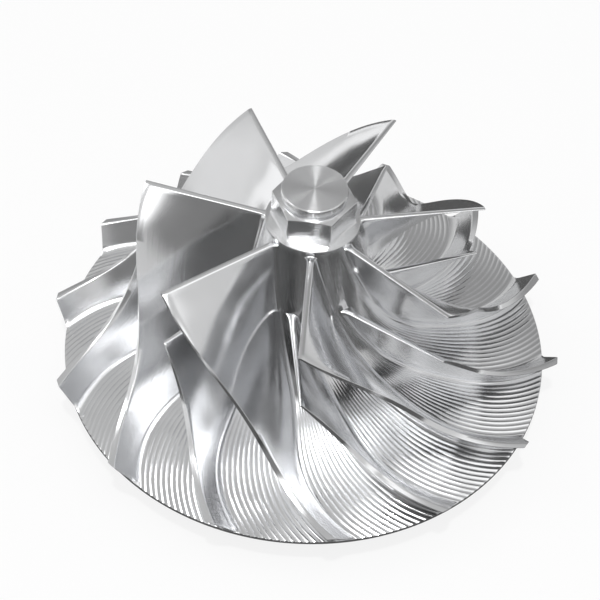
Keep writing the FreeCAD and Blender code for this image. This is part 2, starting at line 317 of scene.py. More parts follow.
@dataclass(frozen=True)
class MetalFinish:
    """One way in which the aluminium is finished.

    Args:
        name: name of the material.
        lay: direction of the tool marks.
        roughness: least and greatest roughness.
        marks: how many marks lie across and along one unit of the lay.
        depth: depth of the marks, in metres.
        anisotropy: how far a highlight is drawn out across the marks.
        colour: tint of the bare metal.
        dulled: share of the tint where the metal is dullest.
        clouds: how many soft clouds, which vary roughness and tint, a metre has.
        rough_span: part of the clouds over which the roughness changes.
        tint_span: part of the clouds over which the tint changes.
    """

    name: str
    lay: Lay
    roughness: tuple[float, float]
    marks: tuple[float, float]
    depth: float
    anisotropy: float = 0.0
    colour: tuple[float, float, float] = BARE_ALUMINIUM
    dulled: float = 0.97
    clouds: float = 140.0
    rough_span: tuple[float, float] = (0.3, 0.7)
    tint_span: tuple[float, float] = (0.35, 0.65)

    def material(self) -> bpy.types.Material:
        """Return the finish as a procedural material."""
        made = bpy.data.materials.new(self.name)
        made.use_nodes = True
        nodes = made.node_tree.nodes
        links = made.node_tree.links
        metal = nodes["Principled BSDF"]
        metal.inputs["Metallic"].default_value = 1.0
        metal.inputs["Anisotropic"].default_value = self.anisotropy
        where = nodes.new("ShaderNodeTexCoord")

        marks = self.mark_pattern(made.node_tree, where)
        bump = nodes.new("ShaderNodeBump")
        bump.inputs["Strength"].default_value = 1.0
        bump.inputs["Distance"].default_value = self.depth
        links.new(marks, bump.inputs["Height"])
        links.new(bump.outputs["Normal"], metal.inputs["Normal"])

        cloud = nodes.new("ShaderNodeTexNoise")
        cloud.inputs["Scale"].default_value = self.clouds
        cloud.inputs["Detail"].default_value = 4.0
        links.new(where.outputs["Object"], cloud.inputs["Vector"])
        rough = nodes.new("ShaderNodeMapRange")
        ends = ("From Min", "From Max", "To Min", "To Max")
        for end, value in zip(ends, self.rough_span + self.roughness):
            rough.inputs[end].default_value = value
        links.new(cloud.outputs["Fac"], rough.inputs["Value"])
        links.new(rough.outputs["Result"], metal.inputs["Roughness"])

        tint = nodes.new("ShaderNodeValToRGB")
        dull, clear = tint.color_ramp.elements
        dull.position, clear.position = self.tint_span
        dull.color = (*[part * self.dulled for part in self.colour], 1.0)
        clear.color = (*self.colour, 1.0)
        links.new(cloud.outputs["Fac"], tint.inputs["Fac"])
        links.new(tint.outputs["Color"], metal.inputs["Base Color"])
        if self.lay is Lay.TURNED and self.anisotropy:
            around = nodes.new("ShaderNodeTangent")
            around.direction_type = "RADIAL"
            around.axis = "Z"
            links.new(around.outputs["Tangent"], metal.inputs["Tangent"])
            # A quarter turn draws the highlight out across the rings.
            metal.inputs["Anisotropic Rotation"].default_value = 0.25
        return made

    def mark_pattern(self, tree: bpy.types.NodeTree, where: bpy.types.Node) -> bpy.types.NodeSocket:
        """Add the nodes that draw the tool marks.

        Args:
            tree: nodes and links of the material.
            where: its texture coordinates.

        Returns:
            The socket that gives the height of the marks.
        """
        nodes, links = tree.nodes, tree.links
        lines = nodes.new("ShaderNodeTexNoise")
        lines.inputs["Scale"].default_value = 1.0
        lines.inputs["Detail"].default_value = 3.0
        lines.inputs["Roughness"].default_value = 0.6
        across, along = self.marks
        if self.lay is Lay.TURNED:
            flat = nodes.new("ShaderNodeVectorMath")
            flat.operation = "MULTIPLY"
            flat.inputs[1].default_value = (1.0, 1.0, 0.0)
            links.new(where.outputs["Object"], flat.inputs[0])
            radius = nodes.new("ShaderNodeVectorMath")
            radius.operation = "LENGTH"
            links.new(flat.outputs["Vector"], radius.inputs[0])
            rings = math_step(tree, "MULTIPLY", radius.outputs["Value"], across)
            lines.noise_dimensions = "1D"
            links.new(rings, lines.inputs["W"])
            return lines.outputs["Fac"]
        on_flow = self.lay is Lay.ALONG_FLOW
        stretch = nodes.new("ShaderNodeMapping")
        stretch.inputs["Scale"].default_value = (
            (along, across, 1.0) if on_flow else (along, along, across))
        links.new(where.outputs["UV" if on_flow else "Object"], stretch.inputs["Vector"])
        links.new(stretch.outputs["Vector"], lines.inputs["Vector"])
        return lines.outputs["Fac"]


POLISHED_FLANK = MetalFinish(
    "polished_flank",
    Lay.ALONG_FLOW,
    roughness=(0.13, 0.19),
    marks=(90.0, 3.0),
    depth=0.000014,
)
MILLED_FLOOR = MetalFinish(
    "milled_floor",
    Lay.ALONG_FLOW,
    roughness=(0.09, 0.15),
    marks=(12.0, 320.0),
    depth=0.00003,
)
TURNED_FACE = MetalFinish(
    "turned_face",
    Lay.TURNED,
    roughness=(0.23, 0.26),
    marks=(5000.0, 1.0),
    depth=0.00003,
    anisotropy=1.0,
)
MILLED_FLATS = MetalFinish(
    "milled_flats",
    Lay.MILLED_FLAT,
    roughness=(0.12, 0.22),
    marks=(3000.0, 500.0),
    depth=0.00004,
)


class Ruling:
    """One straight section of a blade, from its root to its tip."""

    def __init__(self, foot: Vector, end: Vector, foot_way: Vector, end_way: Vector) -> None:
        """Set the section.

        Args:
            foot: point on the root line.
            end: point on the tip line.
            foot_way: way of the root line there.
            end_way: way of the tip line there.
        """
        self.foot = foot
        self.foot_way = foot_way
        self.end_way = end_way
        self.rise = end - foot

    def side_turn(self, height: float, thickness: float) -> float:
        """Return the turn to either side that gives a thickness.

        Args:
            height: share of the way up the section.
            thickness: thickness across the blade, in millimetres.

        Returns:
            The turn about the wheel's axis, in radians.
        """
        along = self.foot_way.lerp(self.end_way, height)
        point = self.foot + self.rise * height
        radius = math.hypot(point.x, point.y)
        ring_way = Vector((-point.y / radius, point.x / radius, 0.0))
        normal = along.cross(self.rise).normalized()
        return thickness / 2 / radius / abs(normal.dot(ring_way))


@dataclass
class BladeRow:
    """One ring of equal blades: the full blades, or the splitters.

    Sizes are in millimetres. The first blade's turn is in radians, and the further
    turn of the leading edge at its root is in degrees. From the leading edge the blade
    grows to its full thickness over the length of the taper. The root line ends a small
    gap inside the rim.
    """

    form: WheelForm
    name: str
    lead_height: float
    first_turn: float
    lead_root_turn: float = 0.0
    inlet_thick: float = 0.7
    outlet_thick: float = 1.1
    lead_root_thick: float = 1.3
    lead_tip_thick: float = 0.5
    lead_taper: float = 6.0
    edge_bevel: float = 0.07
    lead_round: float = 0.4
    rim_gap: float = 0.12
    round_steps: int = 6
    sections: int = 84
    fillet_steps: int = 7
    flank_steps: int = 14
    way_step: float = 0.01
    root_path: EvenPath = field(init=False)
    tip_path: EvenPath = field(init=False)

    def __post_init__(self) -> None:
        """Measure the stretches of the root and tip lines that the blade takes."""
        root = self.form.root_line
        tip = self.form.tip_line
        root_last = root.share_at_radius(self.form.rim_radius - self.rim_gap)
        self.root_path = EvenPath(root, root.share_at_height(self.lead_height), root_last)
        self.tip_path = EvenPath(tip, tip.share_at_height(self.lead_height), 1.0)

    def foot(self, run: float) -> Vector:
        """Return the point on the root line at a run from the leading edge."""
        back_to_line = (1.0 - run) ** 2
        return turned(self.root_path.point(run), math.radians(self.lead_root_turn) * back_to_line)

    def ruling(self, run: float) -> Ruling:
        """Return one straight section.

        Args:
            run: its place, from 0 at the leading edge to 1 at the trailing edge.

        Returns:
            The section, with the ways of the two lines there.
        """
        before, after = max(run - self.way_step, 0.0), min(run + self.way_step, 1.0)
        foot_way = self.foot(after) - self.foot(before)
        end_way = self.tip_path.point(after) - self.tip_path.point(before)
        return Ruling(self.foot(run), self.tip_path.point(run), foot_way, end_way)

    def side_poles(self, run: float, side: int) -> list[Vector]:
        """Return the four points that carry one side of a section.

        Args:
            run: place of the section, from the leading edge to the trailing edge.
            side: -1 or 1.

        Returns:
            The fillet's lowest point, its knee, its upper end, and the tip.
        """
        form = self.form
        ruling = self.ruling(run)
        mean_length = (self.root_path.length + self.tip_path.length) / 2
        taper = ease(run * mean_length / self.lead_taper)
        root_thick = mix(self.lead_root_thick, form.root_thick, taper)
        tip_thick = mix(self.lead_tip_thick, mix(self.inlet_thick, self.outlet_thick, run), taper)
        span = ruling.rise.length
        upper = form.root_fillet / span
        lower = -form.root_sink / span
        places = [
            (lower, ruling.side_turn(0.0, root_thick + 2 * form.root_fillet)),
            (lower / 2, ruling.side_turn(0.0, root_thick)),
            (upper, ruling.side_turn(upper, root_thick)),
            (1.0, ruling.side_turn(1.0, tip_thick)),
        ]
        return [turned(ruling.foot + ruling.rise * height, side * turn) for height, turn in places]

    def skin_points(self, run: float, side: int) -> list[Vector]:
        """Return one side of a section.

        Args:
            run: place of the section.
            side: -1 or 1.

        Returns:
            Its points, from the middle under the floor to the middle of the tip.
        """
        low, knee, flank, tip = self.side_poles(run, side)
        other = self.side_poles(run, -side)
        points = [(low + other[0]) / 2]
        for step in range(self.fillet_steps + 1):
            share = step / self.fillet_steps
            points.append(low.lerp(knee, share).lerp(knee.lerp(flank, share), share))
        reach = (tip - flank).length
        for step in range(1, self.flank_steps + 1):
            share = step / self.flank_steps * (1.0 - self.edge_bevel / reach)
            points.append(flank.lerp(tip, share))
        tip_middle = (tip + other[3]) / 2
        points.append(tip.lerp(tip_middle, self.edge_bevel / (tip - tip_middle).length))
        points.append(tip_middle)
        return points

    def section_loop(self, run: float, drawn_in: float = 0.0, closed: float = 0.0) -> list[Vector]:
        """Return a whole section, round from the root's middle to the root's middle.

        Args:
            run: place of the section.
            drawn_in: how far the two sides are drawn in, in millimetres.
            closed: least share of the half thickness by which they are drawn in. At 1
                the section closes on its middle, as at an edge of the blade.

        Returns:
            The points of the loop.
        """
        loop = []
        back = []
        for near, far in zip(self.skin_points(run, -1), self.skin_points(run, 1)):
            middle = (near + far) / 2
            half = (near - middle).length
            share = max(min(drawn_in / half, 1.0), closed) if half > 0.0 else closed
            loop.append(near.lerp(middle, share))
            back.append(far.lerp(middle, share))
        return loop + back[-2::-1]

    def build(self, finishes: list[bpy.types.Material]) -> bpy.types.Object:
        """Build the whole ring of blades as one piece.

        Args:
            finishes: materials of the piece.

        Returns:
            The finished piece.
        """
        first = self.lead_round / self.root_path.length
        last = 1.0 - self.edge_bevel / self.root_path.length
        loops = []
        for place in range(self.round_steps):
            way = math.pi / 2 * place / self.round_steps
            run = first * (1.0 - math.cos(way))
            loops.append(self.section_loop(run, closed=1.0 - math.sin(way)))
        for place in range(self.sections + 1):
            loops.append(self.section_loop(mix(first, last, place / self.sections)))
        loops.append(self.section_loop(1.0, drawn_in=self.edge_bevel))
        loops.append(self.section_loop(1.0, closed=1.0))
        columns, rows = len(loops) - 1, len(loops[0]) - 1
        shape = bmesh.new()
        shape.loops.layers.uv.new("flow")
        bmesh.ops.create_grid(
            shape, x_segments=columns, y_segments=rows, size=0.5, calc_uvs=True)
        for vert in shape.verts:
            column = round((vert.co.x + 0.5) * columns)
            row = round((vert.co.y + 0.5) * rows)
            vert.co = loops[column][row]
        bmesh.ops.rotate(
            shape, verts=shape.verts, cent=Vector(), matrix=Matrix.Rotation(self.first_turn, 3, AXIS))
        bmesh.ops.remove_doubles(shape, verts=shape.verts, dist=WELD_REACH)
        bmesh.ops.spin(
            shape, geom=shape.verts[:] + shape.edges[:] + shape.faces[:], cent=Vector(), axis=AXIS,
            angle=SEVENTH * (BLADES - 1), steps=BLADES - 1, use_duplicate=True)
        return finish_piece(shape, self.name, finishes)


@dataclass
class MilledFloor:
    """Hub floor between the blades, with its milled grooves and the rim.

    Sizes are in millimetres, and a run is a share of the floor's path from the neck to
    the rim. Grooves closer together than the full pitch are shallower. The floor tucks
    under the roots of the blades, and opens for a splitter over a short run ahead of it.
    In one passage a small jog shifts the grooves, where a tool path starts again. The
    hidden rings, of a radius and a height, carry the piece's unseen inside.
    """

    form: WheelForm
    full_blades: BladeRow
    splitters: BladeRow
    grooves: int = 12
    groove_steps: int = 5
    root_steps: int = 3
    rows: int = 94
    slope_step: float = 0.004
    groove_depth: float = 0.065
    full_pitch: float = 1.05
    greatest_pitch: float = 1.2
    root_tuck: float = 0.12
    fillet_reach: float = 0.45
    splitter_opening: float = 0.08
    jog_passage: int = 2
    jog_run: float = 0.8
    jog_length: float = 0.012
    jog_shift: float = 0.3
    rim_bevel: float = 0.04
    rim_land: float = 0.6
    rim_rise: float = 0.12
    neck_overlap: float = 0.1
    hidden_rings: tuple[tuple[float, float], ...] = ((16.0, 5.5), (6.5, 9.5))
    hidden_top: tuple[float, float] = (6.5, 45.0)
    path: EvenPath = field(init=False)

    def __post_init__(self) -> None:
        """Measure the floor's curve from the neck to the rim."""
        last = self.form.root_line.share_at_radius(self.form.rim_radius - self.rim_bevel)
        self.path = EvenPath(self.form.root_line, 0.0, last)

    def row_run(self, row: BladeRow, run: float) -> float:
        """Return the run along a blade's root that lies at a run along the floor."""
        start = self.path.length - row.root_path.length
        return (run * self.path.length - start) / row.root_path.length

    def half_width(self, row: BladeRow, run: float) -> float:
        """Return the half angle that a blade's root and fillets cover."""
        form = self.form
        width = form.root_thick + 2 * self.fillet_reach * form.root_fillet
        return row.ruling(min(max(run, 0.0), 1.0)).side_turn(0.0, width)

    def middle_turn(self, run: float) -> float:
        """Return how far the splitter's line is turned off midway.

        Args:
            run: place along the splitter's root, below 0 ahead of its leading edge.

        Returns:
            The turn, in radians.
        """
        at_lead = math.radians(self.splitters.lead_root_turn)
        if run >= 0.0:
            return at_lead * (1.0 - run) ** 2
        lead = self.path.length - self.splitters.root_path.length
        share = 1.0 + run * self.splitters.root_path.length / lead
        return at_lead * ease(share)

    def row_marks(self, run: float) -> list[float]:
        """Return the six angles that part one passage.

        Args:
            run: place along the floor, from the neck.

        Returns:
            The angles of a full blade's middle, its fillet's edge, the two edges of the
            splitter's fillets, and the next full blade's fillet edge and middle.
        """
        _, _, root_angle = self.form.root_line.at(self.path.share(run))
        full_half = self.half_width(self.full_blades, self.row_run(self.full_blades, run))
        split_run = self.row_run(self.splitters, run)
        middle = root_angle + SEVENTH / 2 + self.middle_turn(split_run)
        groove = (SEVENTH - 2 * full_half) / (2 * self.grooves + 1)
        split_half = groove / 2
        opening = self.splitter_opening
        if split_run > -opening:
            whole = self.half_width(self.splitters, split_run)
            split_half = mix(groove / 2, whole, ease((split_run + opening) / opening))
        return [
            root_angle,
            root_angle + full_half,
            middle - split_half,
            middle + split_half,
            root_angle + SEVENTH - full_half,
            root_angle + SEVENTH,
        ]

    def column_places(self) -> list[tuple[Zone, float, float, bool]]:
        """Return for each column of a passage its zone and its place in it.

        Returns:
            Zone, share of the zone, share of one groove, and whether it is a ridge.
        """
        across = self.grooves * self.groove_steps
        steps_in = {
            Zone.BLADE: self.root_steps,
            Zone.NEAR_GROOVES: across,
            Zone.SPLITTER: self.groove_steps + 1,
            Zone.FAR_GROOVES: across,
            Zone.NEXT_BLADE: self.root_steps,
        }
        places = []
        for zone, steps in steps_in.items():
            for step in range(steps):
                share = step / steps
                if zone in GROOVED:
                    within = step % self.groove_steps / self.groove_steps
                    places.append((zone, share, within, step % self.groove_steps == 0))
                else:
                    places.append((zone, share, share, step == 0 and zone is not Zone.BLADE))
        return places

    def groove_height(self, zone: Zone, within: float, pitch: float) -> float:
        """Return how far the floor lies above its mean at a place in a groove.

        Args:
            zone: strip of the passage.
            within: share of the groove, or of the strip beside a full blade.
            pitch: width of the groove, in millimetres.

        Returns:
            The height, in millimetres.
        """
        depth = self.groove_depth * min(pitch / self.full_pitch, self.greatest_pitch) ** 2
        if zone is Zone.BLADE:
            return mix(-self.root_tuck, depth / 2, within)
        if zone is Zone.NEXT_BLADE:
            return mix(depth / 2, -self.root_tuck, within)
        return depth * ((2 * within - 1) ** 2 - 0.5)

    def floor_row(self, run: float) -> tuple[float, float, float, float, list[float]]:
        """Return what a row of the floor's vertices lies on.

        Args:
            run: place of the row, from the neck.

        Returns:
            Radius, height, how the floor's normal leans outwards and up, and the angles
            that part a passage.
        """
        line = self.form.root_line
        share = self.path.share(run)
        radius, height, _ = line.at(share)
        r_a, z_a, _ = line.at(min(share + self.slope_step, 1.0))
        r_b, z_b, _ = line.at(max(share - self.slope_step, 0.0))
        slope = math.hypot(r_a - r_b, z_a - z_b)
        return radius, height, (z_b - z_a) / slope, (r_a - r_b) / slope, self.row_marks(run)

    def build(self, finishes: list[bpy.types.Material]) -> bpy.types.Object:
        """Build the floor, the rim and the neck as one closed piece.

        Args:
            finishes: materials of the piece.

        Returns:
            The finished piece.
        """
        places = self.column_places()
        columns = BLADES * len(places)
        lines = [self.floor_row(row / self.rows) for row in range(self.rows + 1)]
        shape = bmesh.new()
        shape.loops.layers.uv.new("flow")
        ridge = shape.verts.layers.int.new("ridge")
        bmesh.ops.create_grid(
            shape, x_segments=columns, y_segments=self.rows, size=0.5, calc_uvs=True)
        for vert in shape.verts:
            column = round((vert.co.x + 0.5) * columns) % columns
            row = round((vert.co.y + 0.5) * self.rows)
            radius, height, out, up, marks = lines[row]
            passage, place = divmod(column, len(places))
            zone, share, within, is_ridge = places[place]
            angle = mix(marks[zone], marks[zone + 1], share)
            pitch = radius * (marks[zone + 1] - marks[zone])
            if zone in GROOVED:
                pitch = pitch / self.grooves
            if passage == self.jog_passage and zone is Zone.NEAR_GROOVES:
                jog = math.exp(-(((row / self.rows - self.jog_run) / self.jog_length) ** 2))
                angle += self.jog_shift * pitch / radius * jog * math.sin(math.pi * share) ** 0.5
            lift = self.groove_height(zone, within, pitch)
            vert.co = from_axis(radius + out * lift, height + up * lift, angle + passage * SEVENTH)
            # The ridges are sharp outside the neck, on the outer two thirds of the rows.
            vert[ridge] = int(is_ridge and row > self.rows // 3)
        bmesh.ops.remove_doubles(shape, verts=shape.verts, dist=WELD_REACH)
        self.close_rim(shape)
        return finish_piece(shape, "hub_floor", finishes)

    def close_rim(self, shape: bmesh.types.BMesh) -> None:
        """Carry the floor's two open edges round the rim and up the inside.

        Args:
            shape: the floor, open at its rim and at its neck.
        """
        form = self.form
        midway = mix(form.rim_height, form.shoulder_under, 0.5)
        open_edges = [edge for edge in shape.edges if edge.is_boundary]
        rim_loop = [edge for edge in open_edges if edge.verts[0].co.z < midway]
        neck_loop = [edge for edge in open_edges if edge.verts[0].co.z > midway]
        rim_under = form.rim_height - form.rim_edge
        rim_rings = [
            (form.rim_radius, form.rim_height - self.rim_bevel),
            (form.rim_radius, rim_under + self.rim_bevel),
            (form.rim_radius - self.rim_bevel, rim_under),
            (form.rim_radius - self.rim_land, rim_under + self.rim_rise),
            *self.hidden_rings,
        ]
        neck_rings = [
            (form.neck_radius, form.shoulder_under + self.neck_overlap),
            self.hidden_top,
        ]
        rim_loop = self.add_rings(shape, rim_loop, rim_rings)
        neck_loop = self.add_rings(shape, neck_loop, neck_rings)
        bmesh.ops.bridge_loops(shape, edges=rim_loop + neck_loop)

    @staticmethod
    def add_rings(
        shape: bmesh.types.BMesh,
        loop: list[bmesh.types.BMEdge],
        rings: list[tuple[float, float]],
    ) -> list[bmesh.types.BMEdge]:
        """Extrude an open loop through rings of given radius and height.

        Args:
            shape: the shape that the loop is part of.
            loop: the loop's edges.
            rings: radius and height of each new ring.

        Returns:
            The edges of the last ring.
        """
        for radius, height in rings:
            made = bmesh.ops.extrude_edge_only(shape, edges=loop)["geom"]
            for vert in (item for item in made if isinstance(item, bmesh.types.BMVert)):
                angle = math.atan2(vert.co.y, vert.co.x)
                vert.co = from_axis(radius, height, angle)
            loop = [item for item in made if isinstance(item, bmesh.types.BMEdge)]
            loop = [edge for edge in loop if edge.is_boundary]
        return loop


def spin_profile(
    shape: bmesh.types.BMesh,
    profile: list[tuple[float, float]],
    steps: int,
    start: float = 0.0,
) -> None:
    """Turn a profile about the axis, as on a lathe.

    Args:
        shape: the shape that the turned form is added to.
        profile: radius and height of each corner, in order.
        steps: facets round the axis.
        start: angle of the first facet's edge, in radians.
    """
    verts = [shape.verts.new(from_axis(radius, height, start)) for radius, height in profile]
    edges = [shape.edges.new(pair) for pair in zip(verts, verts[1:])]
    bmesh.ops.spin(
        shape, geom=verts + edges, cent=Vector(), axis=AXIS, angle=math.tau, steps=steps, use_merge=True)
    bmesh.ops.remove_doubles(shape, verts=shape.verts, dist=WELD_REACH)


@dataclass
class Nose:
    """Shoulder, hexagon and turned cap at the nose of the wheel.

    Sizes are in millimetres and the hexagon's turn is in degrees. The nose is turned
    round first, with a guide ring inside each edge of the hexagon, and the rings between
    are then moved onto the hexagon. The bulge is the share of the cap's bevel at which
    its rounded middle lies inside the sharp corner.
    """

    form: WheelForm
    plug_inset: float = 0.6
    plug_sink: float = 0.5
    shoulder_radius: float = 9.05
    shoulder_edge: float = 0.45
    shoulder_rise: float = 0.55
    shoulder_bevel: float = 0.06
    hex_flats: float = 14.0
    hex_height: float = 5.35
    hex_turn: float = 55.2
    hex_bevel: float = 0.42
    top_bevel: float = 0.07
    foot_bevel: float = 0.24
    corner_bevel: float = 0.1
    foot_guide: float = 0.5
    top_guide: float = 0.1
    flank_rings: tuple[float, ...] = (1.0, 2.0, 3.0)
    undercut_radius: float = 5.85
    undercut_height: float = 0.4
    cap_radius: float = 6.3
    cap_height: float = 1.45
    cap_bevel: float = 0.35
    bevel_bulge: float = 0.25
    steps: int = 192
    level_slack: float = 0.01
    radius_slack: float = 0.05
    corner_slack: float = 0.02
    least_upright: float = 0.3
    sharp_over: float = 18.0

    @property
    def corner(self) -> float:
        """Radius of the hexagon's corners."""
        return self.hex_flats / math.sqrt(3)

    @property
    def edge_top(self) -> float:
        """Height of the shoulder's upper edge."""
        return self.form.shoulder_under + self.shoulder_edge

    @property
    def foot(self) -> float:
        """Height of the hexagon's foot in the round stock."""
        return self.edge_top + self.shoulder_rise

    @property
    def hex_top(self) -> float:
        """Height of the hexagon's top."""
        return self.foot + self.hex_height

    def hex_radius(self, angle: float) -> float:
        """Return the hexagon's radius at an angle."""
        sixth = math.pi / 3
        off = (angle - math.radians(self.hex_turn)) % sixth - sixth / 2
        return self.hex_flats / 2 / math.cos(off)

    def profile(self) -> list[tuple[float, float]]:
        """Return the turned profile, with the hexagon still round.

        Returns:
            Radius and height of each corner, from the plug in the neck to the cap.
        """
        under = self.form.shoulder_under
        plug_radius = self.form.neck_radius - self.plug_inset
        cap_foot = self.hex_top + self.undercut_height
        cap_top = cap_foot + self.cap_height
        small = self.shoulder_bevel
        bulge = self.bevel_bulge * self.cap_bevel
        return [
            (0.0, under - self.plug_sink),
            (plug_radius, under - self.plug_sink),
            (plug_radius, under),
            (self.shoulder_radius - small, under),
            (self.shoulder_radius, under + small),
            (self.shoulder_radius, self.edge_top - small),
            (self.shoulder_radius - small, self.edge_top),
            (self.corner - self.foot_guide, self.foot),
            (self.corner, self.foot),
            *[(self.corner, self.foot + rise) for rise in self.flank_rings],
            (self.corner, self.hex_top),
            (self.corner - self.top_guide, self.hex_top),
            (self.cap_radius, self.hex_top),
            (self.undercut_radius, self.hex_top),
            (self.undercut_radius, cap_foot),
            (self.cap_radius - small, cap_foot),
            (self.cap_radius, cap_foot + small),
            (self.cap_radius, cap_top - self.cap_bevel),
            (self.cap_radius - bulge, cap_top - bulge),
            (self.cap_radius - self.cap_bevel, cap_top),
            (self.cap_radius / 2, cap_top),
            (0.0, cap_top),
        ]

    def is_on_hexagon(self, vert: bmesh.types.BMVert) -> bool:
        """Return whether a vertex of the round stock belongs to the hexagon."""
        level = self.foot - self.level_slack < vert.co.z < self.hex_top + self.level_slack
        return level and math.hypot(vert.co.x, vert.co.y) >= self.cap_radius + self.radius_slack

    def fit_to_hexagon(self, vert: bmesh.types.BMVert) -> None:
        """Move a vertex of the round stock onto the hexagon.

        Args:
            vert: the vertex.
        """
        slope = self.shoulder_rise / (self.shoulder_radius - self.undercut_radius)
        fall = self.hex_bevel / (self.corner - self.cap_radius)
        radius = math.hypot(vert.co.x, vert.co.y)
        angle = math.atan2(vert.co.y, vert.co.x)
        flat = self.hex_radius(angle)
        foot_z = self.edge_top + slope * (self.shoulder_radius - flat)
        top_z = self.hex_top - fall * (flat - self.cap_radius)
        if vert.co.z < self.foot + self.level_slack:
            on_guide = radius < self.corner - self.foot_guide / 2
            out = self.foot_bevel if on_guide else 0.0
            up = -slope * self.foot_bevel if on_guide else self.foot_bevel
            vert.co = from_axis(flat + out, foot_z + up, angle)
        elif vert.co.z > self.hex_top - self.level_slack:
            on_guide = radius < self.corner - self.top_guide / 2
            inner = self.top_bevel if on_guide else 0.0
            drop = 0.0 if on_guide else self.top_bevel
            vert.co = from_axis(flat - inner, top_z + fall * inner - drop, angle)
        else:
            rise = (vert.co.z - self.foot) / (self.hex_top - self.foot)
            vert.co = from_axis(flat, mix(foot_z, top_z - self.top_bevel, rise), angle)

    def is_corner(self, edge: bmesh.types.BMEdge) -> bool:
        """Return whether an edge runs up one of the hexagon's corners.

        Args:
            edge: an edge of the nose.

        Returns:
            True for an upright edge at the corners' radius, above the shoulder.
        """
        a, b = (vert.co for vert in edge.verts)
        reach = min(math.hypot(a.x, a.y), math.hypot(b.x, b.y))
        is_out = reach > self.corner - self.corner_slack
        is_upright = abs(a.z - b.z) > self.least_upright
        return is_out and is_upright and min(a.z, b.z) > self.edge_top

    def build(self, finishes: list[bpy.types.Material]) -> bpy.types.Object:
        """Build the nose as one closed piece.

        Args:
            finishes: material of the turned faces and material of the hexagon's flats.

        Returns:
            The finished piece.
        """
        shape = bmesh.new()
        spin_profile(shape, self.profile(), self.steps, math.radians(self.hex_turn))
        for vert in shape.verts:
            if self.is_on_hexagon(vert):
                self.fit_to_hexagon(vert)
        corners = [edge for edge in shape.edges if self.is_corner(edge)]
        bmesh.ops.bevel(
            shape, geom=corners, offset=self.corner_bevel, segments=2, affect="EDGES", profile=0.5,
            material=-1)
        for face in shape.faces:
            middle = face.calc_center_median()
            is_level = self.foot < middle.z < self.hex_top - self.top_guide
            is_out = math.hypot(middle.x, middle.y) > self.cap_radius
            face.material_index = 1 if is_level and is_out else 0
        return finish_piece(shape, "nose", finishes, self.sharp_over)


@dataclass
class BackDisc:
    """Turned back of the wheel, with its seat and the mouth of the bore.

    Sizes are in millimetres. The hidden sizes are those of the piece's unseen inside.
    The bulge is the share of the seat's bevel at which its rounded middle lies inside
    the sharp corner.
    """

    form: WheelForm
    seat_radius: float = 12.0
    seat_height: float = 2.2
    seat_bevel: float = 0.5
    bevel_bulge: float = 0.3
    seat_root: float = 3.0
    rim_inset: float = 0.09
    rim_drop: float = 0.015
    pilot_radius: float = 4.5
    pilot_depth: float = 8.0
    thread_radius: float = 3.5
    bore_bevel: float = 0.6
    hidden_radius: float = 6.2
    hidden_inset: float = 0.5
    hidden_rise: float = 0.1
    hidden_depth: float = 1.4
    steps: int = 224
    sharp_over: float = 20.0

    def build(self, finishes: list[bpy.types.Material]) -> bpy.types.Object:
        """Build the back as one closed piece.

        Args:
            finishes: materials of the piece.

        Returns:
            The finished piece.
        """
        form = self.form
        rim_under = form.rim_height - form.rim_edge
        bulge = self.bevel_bulge * self.seat_bevel
        root = (self.seat_radius + self.seat_root, self.seat_height + form.rim_edge)
        inner_top = self.pilot_depth + self.hidden_depth
        profile = [
            (self.pilot_radius + self.bore_bevel, 0.0),
            (self.seat_radius - self.seat_bevel, 0.0),
            (self.seat_radius - bulge, bulge),
            (self.seat_radius, self.seat_bevel),
            (self.seat_radius, self.seat_height),
            root,
            (mix(root[0], form.rim_radius, 0.5), mix(root[1], rim_under, 0.5)),
            (form.rim_radius - self.rim_inset, rim_under - self.rim_drop),
            (form.rim_radius - self.hidden_inset, rim_under + self.hidden_rise),
            (self.hidden_radius, rim_under + self.hidden_rise),
            (self.hidden_radius, inner_top),
            (self.thread_radius, inner_top),
            (self.thread_radius, self.pilot_depth + self.bore_bevel),
            (self.pilot_radius, self.pilot_depth),
            (self.pilot_radius, self.bore_bevel),
            (self.pilot_radius + self.bore_bevel, 0.0),
        ]
        shape = bmesh.new()
        spin_profile(shape, profile, self.steps)
        return finish_piece(shape, "back_disc", finishes, self.sharp_over)


